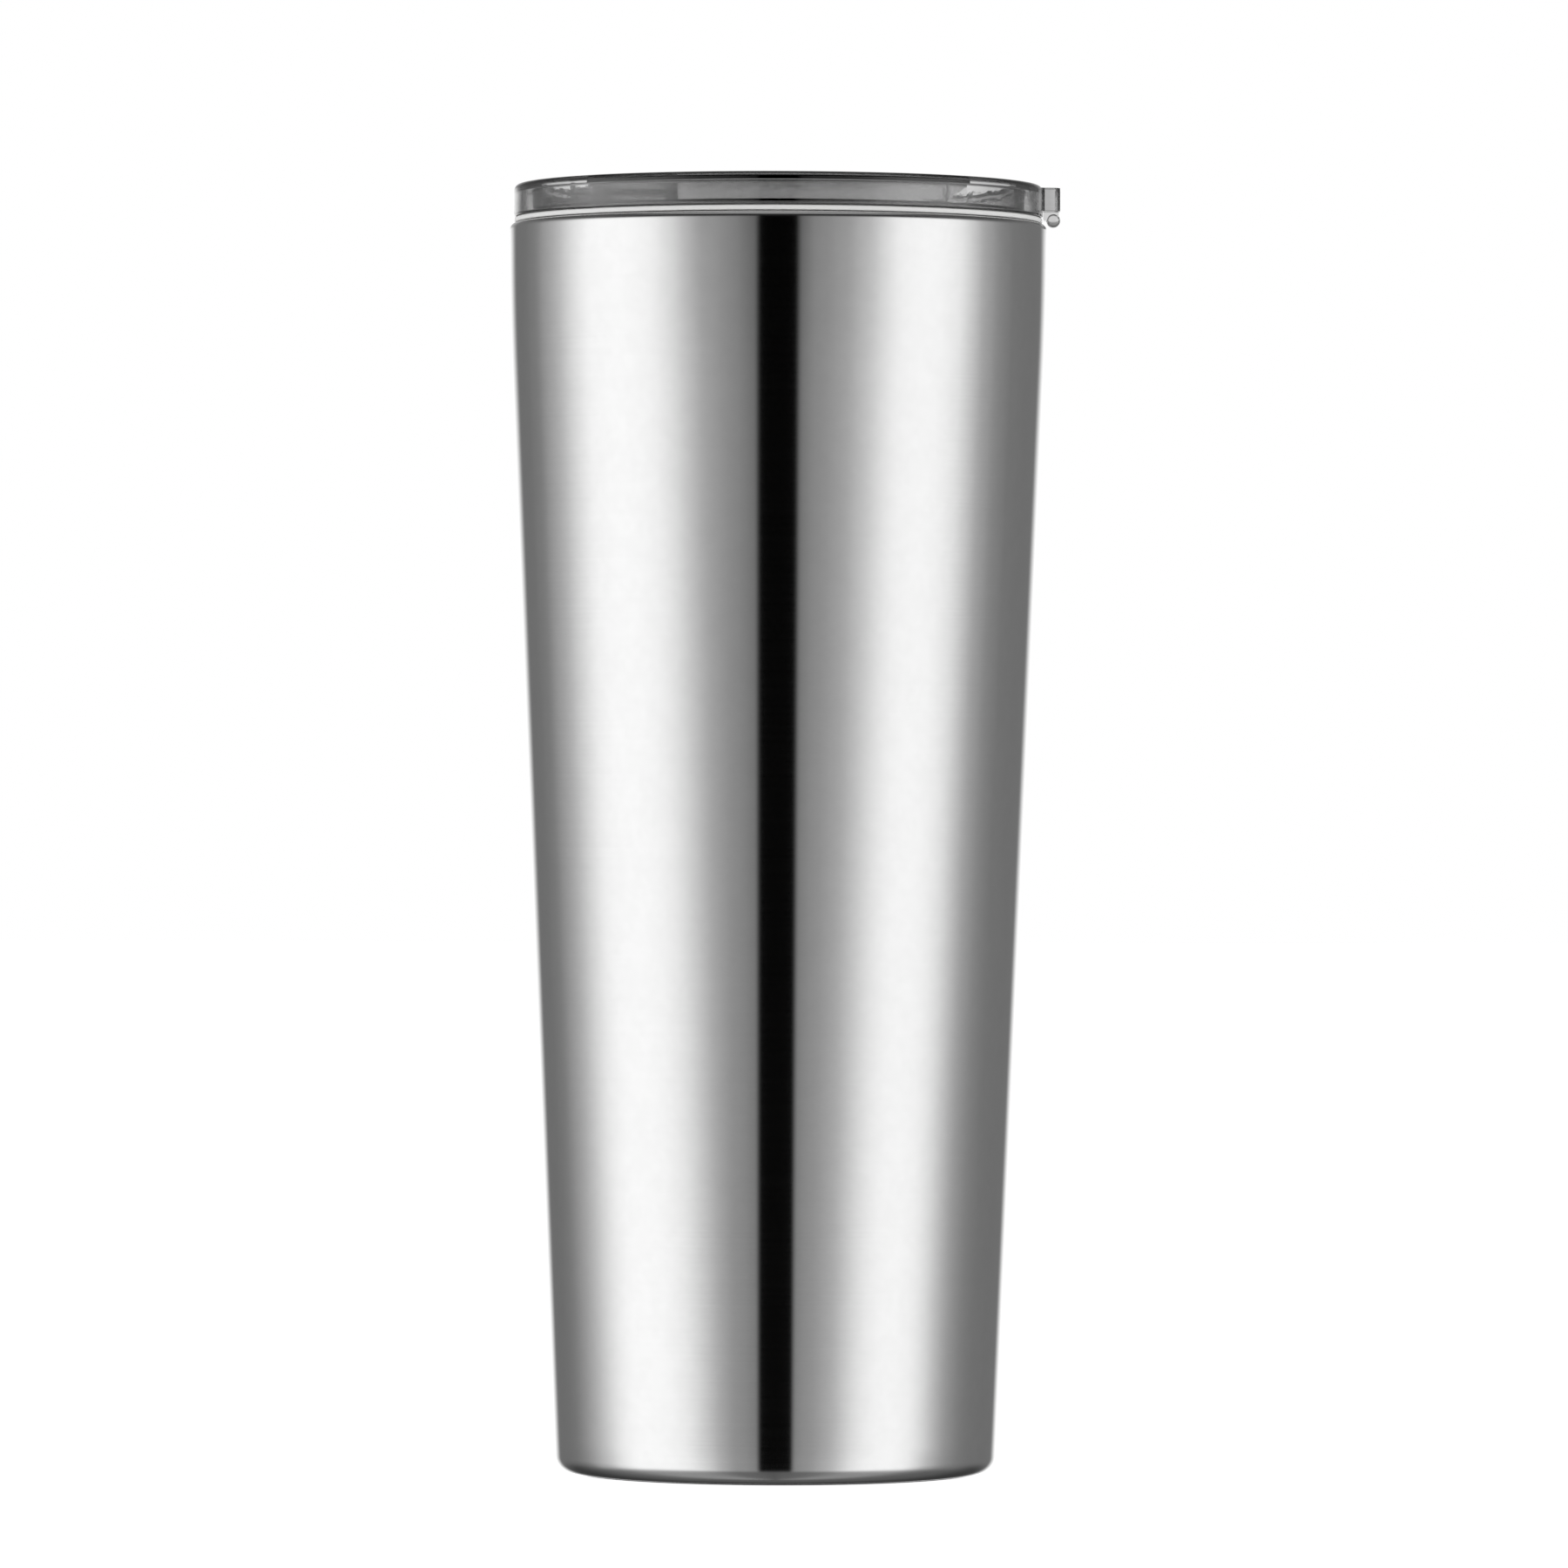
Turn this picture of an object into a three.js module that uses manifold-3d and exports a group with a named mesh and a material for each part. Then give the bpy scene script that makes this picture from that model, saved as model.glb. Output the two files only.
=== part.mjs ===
// An insulated tumbler: a double-walled, vacuum-sealed steel vessel with a clear press-in lid.
// Millimetres, +Z up. The origin is the centre of the face that the tumbler stands on. The drinking
// side of the lid is towards -X and its pull tab towards +X.
import * as THREE from "three";
import { mergeVertices } from "three/addons/utils/BufferGeometryUtils.js";
import Module from "manifold-3d";

const wasm = await Module();
wasm.setup();

// ---- Driving dimensions ----
const FACETS = 60; // facets round every large turned piece
const GAP = 0.15; // between two pieces that are welded, glued or pressed together

// Vessel
const SHEET = 0.5; // steel sheet of both walls
const RIM_RADIUS = 45; // outside of the vessel at its mouth
const RIM_TOP = 209.05; // top of the drinking lip
const TAPER = 0.0421; // radius lost per millimetre down the side
const TAPER_TOP = 184; // above this height the side curves to upright
const LIP_ROUND = 1.2; // rounding of the lip's outer edge
const BASE_BOTTOM = 0.2; // underside of the steel, above the floor
const BASE_ROUND = 2.9; // rounding of the wall into the base
const WALL_THICKNESS = 4.5; // from the outside to the wetted face, below the neck

// Liner
const NECK_RADIUS = 42.55; // wetted face of the neck, where the lid's seal presses
const NECK_BOTTOM = 197;
const SHOULDER_BOTTOM = 190; // the neck narrows to the tapered cup between these two heights
const FLOOR_TOP = 13; // wetted floor of the cup
const FLOOR_SHEET = 0.6;
const FLOOR_ROUND = 7;
const LINER_SEAM = 20.4; // weld between the cup's wall and its floor

// Base
const CAP_BOTTOM = BASE_BOTTOM + SHEET + GAP; // the cap lies on the wall's turned-in edge
const CAP_RADIUS = 34.45;
const DIMPLE = { inside: 6, outside: 8, rise: 2.1 }; // pressed up in the middle of the cap
const PAD_RADIUS = 33.4;
const PAD_THICKNESS = 0.4;
const FILM_THICKNESS = 0.2;

// Lid
const LID_RADIUS = 44.25;
const LID_TOP = 215.5; // top of the raised rim
const LID_SEAT = 210.1; // lower edge of the lid's wall
const LID_ROUND = 1;
const WALL_INSIDE = 42.6; // inside of the lid's wall
const PLATE_TOP = 215.4;
const PLATE_UNDER = 214.3;
const SKIRT_OUTSIDE = 40.7;
const SKIRT_INSIDE = 38.6;
const SKIRT_BOTTOM = 199;
const COLLAR_RADIUS = 41.3; // the skirt is this wide beside the lid's wall
const BEAD_RADIUS = 41.3; // bead that keeps the seal on the skirt
const BEAD_TOP = 201.2;
const WELL_RADIUS = 39.8;
const WELL_CHORD = 30; // the plate is a bridge that stops this far from the axis on both sides
const WELL_FLOOR = 211.2; // top of the floor that runs under the bridge from well to well
const FLOOR_PLATE = 1.1;
const RIB = 2; // walls of the slider's trough
const SEAL_GAP = 0.1; // above and below the seal's flange
const MOUTH = { front: -37.2, back: -32, half: 6.5, round: 2.2 }; // drinking opening
const VENT = { radius: 1.25, x: 35 };

// Slider
const TROUGH_HALF = 8.2; // half the width of the slider's trough
const SLOT_HALF = 6.8; // half the width between the lips above it
const LIP_BOTTOM = 213.2;
const TROUGH_END = -18.6;
const SLIDER = { bottom: 211.45, top: 212.95, half: 7.9, back: -27.4, frontRadius: 39.4 };
const GRIP = { front: -34.5, back: -28.3, half: 6.4, top: 215.4, rib: 0.9, ribs: 3 };
const SEAL = { front: -37.8, back: -31.3, half: 7.1, pocket: 0.65 };

// Pull tab: a lug on the rim with a bead along its lower edge
const TAB = { root: 42.9, reach: 47.15, half: 3.2, round: 2.8, bottom: 211.2, top: 215.1 };
const TAB_BEAD = { radius: 1.15, x: 46, z: 209.65, half: 2.1 };
const TAB_WEB = { thickness: 1.6, half: 1.6 };

// ---- Materials ----
const material = (color, roughness, metalness) => new THREE.MeshStandardMaterial({ color, roughness, metalness });
const brushedSteel = material(0xc4c4c4, 0.28, 1);
const satinSteel = material(0xb4b4b2, 0.42, 1);
const copper = material(0xb87349, 0.3, 1);
const clearPlastic = material(0xccced0, 0.05, 0);
const whiteSilicone = material(0xf3f3f2, 0.45, 0);
const greySilicone = material(0x4e4f50, 0.7, 0);
const getterMetal = material(0x6a6a6c, 0.8, 1);
const sealGlass = material(0x2e2622, 0.3, 0);
const adhesive = material(0xd8d2bc, 0.6, 0);

// ---- Shape helpers ----
const degrees = THREE.MathUtils.degToRad;

// Points [radius, height] on an arc, from one angle to another, counted from +radius towards +height.
function arc(centre, radius, from, to, steps) {
  return Array.from({ length: steps + 1 }, (_, i) => {
    const angle = degrees(from + ((to - from) * i) / steps);
    return [centre[0] + radius * Math.cos(angle), centre[1] + radius * Math.sin(angle)];
  });
}

// A solid turned about Z from an anticlockwise outline of [radius, height] points. An outline that
// doesn't start on the axis is closed on itself.
function turned(outline, facets = FACETS) {
  const closed = outline[0][0] > 0 ? [...outline, outline[0]] : outline;
  const points = closed.map(([radius, height]) => new THREE.Vector2(radius, height));
  return new THREE.LatheGeometry(points, facets).rotateX(Math.PI / 2);
}

// A prism between two heights from a THREE.Shape in the XY plane.
function prism(shape, bottom, top, curveSegments = 6) {
  const settings = { depth: top - bottom, bevelEnabled: false, curveSegments };
  return new THREE.ExtrudeGeometry(shape, settings).translate(0, 0, bottom);
}

// A box between two corners.
function block([x0, y0, z0], [x1, y1, z1]) {
  const box = new THREE.BoxGeometry(x1 - x0, y1 - y0, z1 - z0);
  return box.translate((x0 + x1) / 2, (y0 + y1) / 2, (z0 + z1) / 2);
}

// A cylinder along Z.
function post(radius, x, bottom, top, facets) {
  const upright = new THREE.CylinderGeometry(radius, radius, top - bottom, facets).rotateX(Math.PI / 2);
  return upright.translate(x, 0, (bottom + top) / 2);
}

// The outline of a rectangle with rounded corners.
function roundedRectangle(x0, y0, x1, y1, round) {
  const shape = new THREE.Shape();
  shape.moveTo(x0 + round, y0);
  shape.lineTo(x1 - round, y0);
  shape.absarc(x1 - round, y0 + round, round, -Math.PI / 2, 0);
  shape.lineTo(x1, y1 - round);
  shape.absarc(x1 - round, y1 - round, round, 0, Math.PI / 2);
  shape.lineTo(x0 + round, y1);
  shape.absarc(x0 + round, y1 - round, round, Math.PI / 2, Math.PI);
  shape.lineTo(x0, y0 + round);
  shape.absarc(x0 + round, y0 + round, round, Math.PI, Math.PI * 1.5);
  return shape;
}

// The part of a disc beyond a chord, towards -X (side -1) or +X (side 1).
function crescent(radius, chord, side) {
  const half = Math.acos(chord / radius);
  const middle = side > 0 ? 0 : Math.PI;
  const shape = new THREE.Shape();
  shape.absarc(0, 0, radius, middle - half, middle + half);
  shape.closePath();
  return shape;
}

// ---- Joining and cutting ----
function solid(geometry) {
  const bare = geometry.clone();
  bare.deleteAttribute("normal");
  bare.deleteAttribute("uv");
  const merged = mergeVertices(bare, 1e-4);
  const vertProperties = new Float32Array(merged.attributes.position.array);
  const triVerts = new Uint32Array(merged.index.array);
  return new wasm.Manifold(new wasm.Mesh({ numProp: 3, vertProperties, triVerts }));
}

function combine(base, added, removed) {
  const joined = added.reduce((whole, piece) => whole.add(solid(piece)), solid(base));
  return removed.reduce((whole, piece) => whole.subtract(solid(piece)), joined);
}

function geometryOf(manifold) {
  const mesh = manifold.getMesh();
  const geometry = new THREE.BufferGeometry();
  geometry.setAttribute("position", new THREE.BufferAttribute(new Float32Array(mesh.vertProperties), 3));
  geometry.setIndex(new THREE.BufferAttribute(new Uint32Array(mesh.triVerts), 1));
  geometry.computeVertexNormals();
  return geometry;
}

// ---- The vessel's profile ----
const UPRIGHT_HEIGHT = RIM_TOP - LIP_ROUND; // where the lip's rounding starts
const CURVE_HEIGHT = UPRIGHT_HEIGHT - TAPER_TOP;
const TAPER_ANGLE = THREE.MathUtils.radToDeg(Math.atan(TAPER));

// Outside radius of the vessel at a height: a straight taper that curves to upright at the mouth.
function wallRadius(height) {
  const above = Math.max(height - TAPER_TOP, 0);
  const below = Math.min(height - TAPER_TOP, 0);
  const atTaperTop = RIM_RADIUS - (TAPER * CURVE_HEIGHT) / 2;
  return atTaperTop + TAPER * below + TAPER * above * (1 - above / (2 * CURVE_HEIGHT));
}

// Wetted radius of the liner: the tapered cup, then a shoulder that widens it to the neck.
function linerRadius(height) {
  const share = THREE.MathUtils.smoothstep(height, SHOULDER_BOTTOM, NECK_BOTTOM);
  return THREE.MathUtils.lerp(wallRadius(height) - WALL_THICKNESS, NECK_RADIUS, share);
}

// Points [radius, height] up a wall whose radius is a function of height.
const upWall = (radiusAt, heights, offset = 0) => heights.map((height) => [radiusAt(height) + offset, height]);

// Centre of an arc that turns a tapered wall into a flat floor.
function cornerCentre(radiusAt, floor, round, offset = 0) {
  const height = floor + round - round * Math.sin(degrees(TAPER_ANGLE));
  return [radiusAt(height) + offset - round * Math.cos(degrees(TAPER_ANGLE)), floor + round];
}

function outerWall() {
  const base = cornerCentre(wallRadius, BASE_BOTTOM, BASE_ROUND);
  const lip = [RIM_RADIUS - LIP_ROUND, UPRIGHT_HEIGHT];
  const heights = [TAPER_TOP, 192, 200];
  const turnIn = PAD_RADIUS + 0.2;
  return turned([
    [turnIn, BASE_BOTTOM],
    ...arc(base, BASE_ROUND, -90, -TAPER_ANGLE, 4),
    ...upWall(wallRadius, heights),
    ...arc(lip, LIP_ROUND, 0, 90, 3),
    ...arc(lip, LIP_ROUND - SHEET, 90, 0, 3),
    ...upWall(wallRadius, heights, -SHEET).reverse(),
    ...arc(base, BASE_ROUND - SHEET, -TAPER_ANGLE, -90, 4),
    [turnIn, BASE_BOTTOM + SHEET],
  ]);
}

function linerWall() {
  const round = 0.9;
  const flange = RIM_RADIUS - LIP_ROUND - GAP;
  const lip = [NECK_RADIUS + round, RIM_TOP - round];
  const heights = [LINER_SEAM + GAP, TAPER_TOP, SHOULDER_BOTTOM, 192.5, 194.5, NECK_BOTTOM];
  return turned([
    ...upWall(linerRadius, heights, SHEET),
    ...arc(lip, round - SHEET, 180, 90, 1),
    [flange, RIM_TOP - SHEET],
    [flange, RIM_TOP],
    ...arc(lip, round, 90, 180, 3),
    ...upWall(linerRadius, heights).reverse(),
  ]);
}

function linerBase() {
  const corner = cornerCentre(linerRadius, FLOOR_TOP, FLOOR_ROUND);
  const edge = linerRadius(LINER_SEAM);
  return turned([
    [0, FLOOR_TOP - FLOOR_SHEET],
    ...arc(corner, FLOOR_ROUND + FLOOR_SHEET, -90, -TAPER_ANGLE, 4),
    [edge + SHEET, LINER_SEAM],
    [edge, LINER_SEAM],
    ...arc(corner, FLOOR_ROUND, -TAPER_ANGLE, -90, 4),
    [0, FLOOR_TOP],
  ]);
}

// Copper wrapped round the liner inside the vacuum, to turn radiated heat back.
function copperFoil() {
  const heights = [LINER_SEAM + 3, SHOULDER_BOTTOM - 2];
  const inside = SHEET + 0.25;
  const foil = 0.12;
  return turned([
    ...upWall(linerRadius, heights, inside + foil),
    ...upWall(linerRadius, heights, inside).reverse(),
  ]);
}

// Pressed disc that closes the outer wall. A dimple in its middle holds the evacuation hole.
function baseCap() {
  const hole = 0.8;
  const top = CAP_BOTTOM + SHEET;
  return turned([
    [hole, CAP_BOTTOM + DIMPLE.rise],
    [DIMPLE.inside, CAP_BOTTOM + DIMPLE.rise],
    [DIMPLE.outside, CAP_BOTTOM],
    [CAP_RADIUS, CAP_BOTTOM],
    [CAP_RADIUS, top],
    [DIMPLE.outside + 0.2, top],
    [DIMPLE.inside + 0.2, top + DIMPLE.rise],
    [hole, top + DIMPLE.rise],
  ]);
}

// Glass that closes the evacuation hole from below.
function vacuumSealBead() {
  const top = CAP_BOTTOM + DIMPLE.rise - GAP;
  return turned([[0, top - 1.3], [1.6, top - 1.1], [2.8, top - 0.6], [3, top], [0, top]], 24);
}

// Stamped holder under the liner's floor for the pellet that soaks up stray gas.
function getterClip() {
  return turned([[3.5, 8.2], [6.6, 8.2], [6.6, 11.7], [10, 11.7], [10, 12.1],
    [6.2, 12.1], [6.2, 8.6], [3.5, 8.6]], 32);
}

function getterPellet() {
  return turned([[0, 8.9], [5.8, 8.9], [5.8, 11.4], [0, 11.4]], 24);
}

// Non-slip pad with three shallow grooves under it.
function basePad() {
  const groove = { depth: 0.2, width: 1.2 };
  const grooves = [14, 20, 26].flatMap((radius) => [
    [radius, 0],
    [radius, groove.depth],
    [radius + groove.width, groove.depth],
    [radius + groove.width, 0],
  ]);
  return turned([[0, 0], ...grooves, [PAD_RADIUS - 0.15, 0], [PAD_RADIUS, 0.15],
    [PAD_RADIUS, PAD_THICKNESS], [0, PAD_THICKNESS]]);
}

function padFilm() {
  const bottom = PAD_THICKNESS + 0.1;
  const radius = PAD_RADIUS - 1;
  return turned([[0, bottom], [radius, bottom], [radius, bottom + FILM_THICKNESS], [0, bottom + FILM_THICKNESS]]);
}

// ---- The lid ----
// Rim, wall, plate and plug skirt, before the wells are cut.
function lidBlank() {
  const rim = [LID_RADIUS - LID_ROUND, LID_TOP - LID_ROUND];
  return turned([
    [0, PLATE_UNDER],
    [SKIRT_INSIDE, PLATE_UNDER],
    [SKIRT_INSIDE, SKIRT_BOTTOM],
    [SKIRT_OUTSIDE, SKIRT_BOTTOM],
    [BEAD_RADIUS, SKIRT_BOTTOM + 0.8],
    [BEAD_RADIUS, BEAD_TOP],
    [SKIRT_OUTSIDE, BEAD_TOP],
    [SKIRT_OUTSIDE, LID_SEAT],
    [COLLAR_RADIUS, LID_SEAT + 0.6],
    [COLLAR_RADIUS, PLATE_UNDER],
    [WALL_INSIDE, PLATE_UNDER],
    [WALL_INSIDE, LID_SEAT],
    [LID_RADIUS, LID_SEAT],
    ...arc(rim, LID_ROUND, 0, 90, 3),
    [COLLAR_RADIUS + 0.4, LID_TOP],
    [COLLAR_RADIUS, PLATE_TOP],
    [0, PLATE_TOP],
  ]);
}

function tabPieces() {
  const { radius, x, z, half } = TAB_BEAD;
  const side = TAB.half - TAB.round;
  const end = TAB.reach - TAB.round;
  const tip = [...arc([end, -side], TAB.round, -90, 0, 5), ...arc([end, side], TAB.round, 0, 90, 5)];
  const outline = [[TAB.root, -TAB.half], ...tip, [TAB.root, TAB.half]];
  const tongue = new THREE.Shape(outline.map(([across, along]) => new THREE.Vector2(across, along)));
  const lug = prism(tongue, TAB.bottom, TAB.top);
  const bead = new THREE.CylinderGeometry(radius, radius, 2 * half, 20).translate(x, 0, z);
  const offset = TAB_WEB.thickness / 2;
  const web = block([x - offset, -TAB_WEB.half, z], [x + offset, TAB_WEB.half, TAB.bottom + 0.5]);
  return [lug, bead, web];
}

function lidBody() {
  const underside = WELL_FLOOR - FLOOR_PLATE;
  const plateMiddle = (PLATE_TOP + PLATE_UNDER) / 2;
  const above = LID_TOP + 1;
  const edge = SKIRT_INSIDE + 0.5;
  const floor = turned([[0, underside], [edge, underside], [edge, WELL_FLOOR], [0, WELL_FLOOR]]);
  const troughWalls = block(
    [-WELL_CHORD, -TROUGH_HALF - RIB, (underside + WELL_FLOOR) / 2],
    [TROUGH_END + RIB, TROUGH_HALF + RIB, plateMiddle],
  );
  const wells = [-1, 1].map((side) => prism(crescent(WELL_RADIUS, WELL_CHORD, side), WELL_FLOOR, above, 32));
  const trough = block([-WELL_CHORD - 1, -TROUGH_HALF, WELL_FLOOR], [TROUGH_END, TROUGH_HALF, LIP_BOTTOM]);
  const slot = block([-WELL_CHORD - 1, -SLOT_HALF, LIP_BOTTOM - 0.1], [TROUGH_END, SLOT_HALF, above]);
  const mouth = prism(
    roundedRectangle(MOUTH.front, -MOUTH.half, MOUTH.back, MOUTH.half, MOUTH.round),
    underside - 1,
    WELL_FLOOR + 1,
    4,
  );
  const vent = post(VENT.radius, VENT.x, underside - 1, WELL_FLOOR + 1, 16);
  return geometryOf(
    combine(lidBlank(), [floor, troughWalls, ...tabPieces()], [...wells, trough, slot, mouth, vent]),
  );
}

// The part of the lid's seal that shows is a flange between the lid and the lip.
function lidGasket() {
  const inside = SKIRT_OUTSIDE + GAP;
  const sleeve = inside + 0.6;
  const fin = NECK_RADIUS - 0.2;
  const flangeBottom = RIM_TOP + SEAL_GAP;
  const flangeTop = LID_SEAT - SEAL_GAP;
  const finAt = (height) => [
    [sleeve, height - 0.4],
    [fin, height],
    [fin, height + 0.4],
    [sleeve, height + 0.5],
  ];
  return turned([
    [inside, BEAD_TOP + GAP],
    [sleeve, BEAD_TOP + GAP],
    ...finAt(203),
    ...finAt(206.3),
    [sleeve, flangeBottom],
    [LID_RADIUS - 0.1, flangeBottom],
    [LID_RADIUS - 0.1, flangeTop],
    [inside, flangeTop],
  ]);
}

// ---- The slider ----
function sliderBody() {
  const half = SLIDER.half;
  const start = Math.PI - Math.asin(half / SLIDER.frontRadius);
  const outline = new THREE.Shape();
  outline.moveTo(SLIDER.back, -half);
  outline.lineTo(SLIDER.back, half);
  outline.absarc(0, 0, SLIDER.frontRadius, start, 2 * Math.PI - start);
  outline.closePath();
  const grip = block([GRIP.front, -GRIP.half, SLIDER.top - 0.2], [GRIP.back, GRIP.half, GRIP.top - 0.7]);
  const pitch = (GRIP.back - GRIP.front - GRIP.rib) / (GRIP.ribs - 1);
  const ribs = Array.from({ length: GRIP.ribs }, (_, i) => {
    const front = GRIP.front + i * pitch;
    return block([front, -GRIP.half, GRIP.top - 1.2], [front + GRIP.rib, GRIP.half, GRIP.top]);
  });
  const edge = 0.3;
  const pocket = block(
    [SEAL.front - edge, -SEAL.half - edge, SLIDER.bottom - 1],
    [SEAL.back + edge, SEAL.half + edge, SLIDER.bottom + SEAL.pocket],
  );
  return geometryOf(combine(prism(outline, SLIDER.bottom, SLIDER.top, 12), [grip, ...ribs], [pocket]));
}

// Pad under the slider that covers the drinking opening.
function sliderSeal() {
  const bottom = WELL_FLOOR + GAP / 2;
  return prism(
    roundedRectangle(SEAL.front, -SEAL.half, SEAL.back, SEAL.half, 1),
    bottom,
    SLIDER.bottom + SEAL.pocket - GAP,
    3,
  );
}

// ---- The assembly ----
const piece = (name, geometry, finish) => {
  const mesh = new THREE.Mesh(geometry, finish);
  mesh.name = name;
  return mesh;
};

const vessel = new THREE.Group().add(
  piece("outer_wall", outerWall(), brushedSteel),
  piece("base_cap", baseCap(), satinSteel),
  piece("liner_wall", linerWall(), satinSteel),
  piece("liner_base", linerBase(), satinSteel),
  piece("copper_foil", copperFoil(), copper),
  piece("getter_clip", getterClip(), satinSteel),
  piece("getter_pellet", getterPellet(), getterMetal),
  piece("vacuum_seal_bead", vacuumSealBead(), sealGlass),
  piece("base_pad", basePad(), greySilicone),
  piece("base_pad_film", padFilm(), adhesive),
);
const lid = new THREE.Group().add(
  piece("lid_body", lidBody(), clearPlastic),
  piece("lid_gasket", lidGasket(), whiteSilicone),
);
const slider = new THREE.Group().add(
  piece("slider", sliderBody(), clearPlastic),
  piece("slider_seal", sliderSeal(), whiteSilicone),
);

export default new THREE.Group().add(vessel, lid, slider);
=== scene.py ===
"""Looks for an insulated steel tumbler with a clear press-in lid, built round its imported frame.

Metres, +Z up. The tumbler's axis is Z and it stands on the floor at zero height. The drinking side of the
lid is towards -X and its pull tab towards +X. Sizes in the classes below are in millimetres.
"""

import logging
import math
from dataclasses import dataclass
from enum import Enum
from typing import Iterable, Sequence

import bpy
import numpy as np
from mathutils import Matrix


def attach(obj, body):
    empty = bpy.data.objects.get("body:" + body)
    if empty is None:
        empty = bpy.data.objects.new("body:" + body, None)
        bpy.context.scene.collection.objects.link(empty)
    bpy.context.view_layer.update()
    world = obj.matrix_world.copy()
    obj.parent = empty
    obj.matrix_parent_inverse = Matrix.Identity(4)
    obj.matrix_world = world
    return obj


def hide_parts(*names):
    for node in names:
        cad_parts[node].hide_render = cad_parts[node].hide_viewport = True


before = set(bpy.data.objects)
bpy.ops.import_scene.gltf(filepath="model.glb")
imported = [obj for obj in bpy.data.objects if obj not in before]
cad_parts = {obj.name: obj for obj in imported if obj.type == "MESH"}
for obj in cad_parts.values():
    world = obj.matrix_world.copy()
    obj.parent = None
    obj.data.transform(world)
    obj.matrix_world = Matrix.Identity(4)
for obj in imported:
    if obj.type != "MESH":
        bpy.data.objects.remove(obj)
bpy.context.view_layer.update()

LOG = logging.getLogger("tumbler")
MM = 0.001
UV_NAME = "Wrap"


class Body(Enum):
    """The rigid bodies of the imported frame."""

    VESSEL = "vessel"
    LID = "lid"
    SLIDER = "slider"


class Cut(Enum):
    """How one closed solid acts on another."""

    JOIN = "UNION"
    REMOVE = "DIFFERENCE"


# ---------------------------------------------------------------- outlines and surfaces


def arc(centre: tuple[float, float], radius: float, start: float, end: float, steps: int) -> np.ndarray:
    """Points (r, h) = centre + radius * (cos t, sin t) for angles t evenly spaced from start to end.

    Args:
        centre: Centre of the arc, mm.
        radius: Radius of the arc, mm.
        start: First angle, degrees.
        end: Last angle, degrees.
        steps: Number of intervals.

    Returns:
        An array of (steps + 1, 2) points.
    """
    t = np.radians(np.linspace(start, end, steps + 1))
    return np.column_stack((centre[0] + radius * np.cos(t), centre[1] + radius * np.sin(t)))


def rounded(corners: Sequence[tuple[float, float, float]], closed: bool = True, steps: int = 5) -> np.ndarray:
    """An outline of straight sides whose corners are arcs that touch both sides.

    For a corner of inner angle g, the arc of radius r leaves each side r / tan(g / 2) from the corner, and its
    centre lies r / sin(g / 2) along the bisector.

    Args:
        corners: (first coordinate, second coordinate, rounding) of each corner, mm.
        closed: Whether the last corner joins the first.
        steps: Intervals on each arc.

    Returns:
        An array of (n, 2) points.
    """
    table = np.array(corners, float)
    count = len(table)
    pieces: list[np.ndarray] = []
    for i, (x, y, radius) in enumerate(table):
        here = np.array((x, y))
        if radius <= 0 or (not closed and i in (0, count - 1)):
            pieces.append(here[None])
            continue
        back = table[i - 1, :2] - here
        ahead = table[(i + 1) % count, :2] - here
        back /= np.linalg.norm(back)
        ahead /= np.linalg.norm(ahead)
        half = math.acos(float(np.clip(back @ ahead, -1, 1))) / 2
        bisector = (back + ahead) / np.linalg.norm(back + ahead)
        centre = here + bisector * radius / math.sin(half)
        first = here + back * radius / math.tan(half) - centre
        last = here + ahead * radius / math.tan(half) - centre
        start = math.atan2(first[1], first[0])
        sweep = (math.atan2(last[1], last[0]) - start + math.pi) % (2 * math.pi) - math.pi
        t = start + sweep * np.linspace(0, 1, steps + 1)
        pieces.append(centre + radius * np.column_stack((np.cos(t), np.sin(t))))
    return np.vstack(pieces)


def rounded_box(x0: float, x1: float, half: float, rounding: float, steps: int = 6) -> np.ndarray:
    """The outline of a rectangle between two X, centred on Y, with rounded corners.

    Args:
        x0: Lower X, mm.
        x1: Higher X, mm.
        half: Half its width along Y, mm.
        rounding: Radius of its corners, mm.
        steps: Intervals on each corner.

    Returns:
        (n, 2) points, anticlockwise.
    """
    corners = [(x0, -half, rounding), (x1, -half, rounding), (x1, half, rounding), (x0, half, rounding)]
    return rounded(corners, steps=steps)


def new_object(name: str, points: np.ndarray, faces: list, crease: float = 30.0) -> bpy.types.Object:
    """A mesh object at the origin from points in millimetres.

    Args:
        name: Name of the piece.
        points: (n, 3) points, mm.
        faces: Point numbers of each face, anticlockwise from outside.
        crease: Edges that turn by more than this many degrees stay sharp.

    Returns:
        The new object.
    """
    mesh = bpy.data.meshes.new(name)
    mesh.from_pydata((points * MM).tolist(), [], faces)
    mesh.validate()
    mesh.update()
    mesh.shade_smooth()
    mesh.set_sharp_from_angle(angle=math.radians(crease))
    made = bpy.data.objects.new(name, mesh)
    bpy.context.scene.collection.objects.link(made)
    return made


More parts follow.
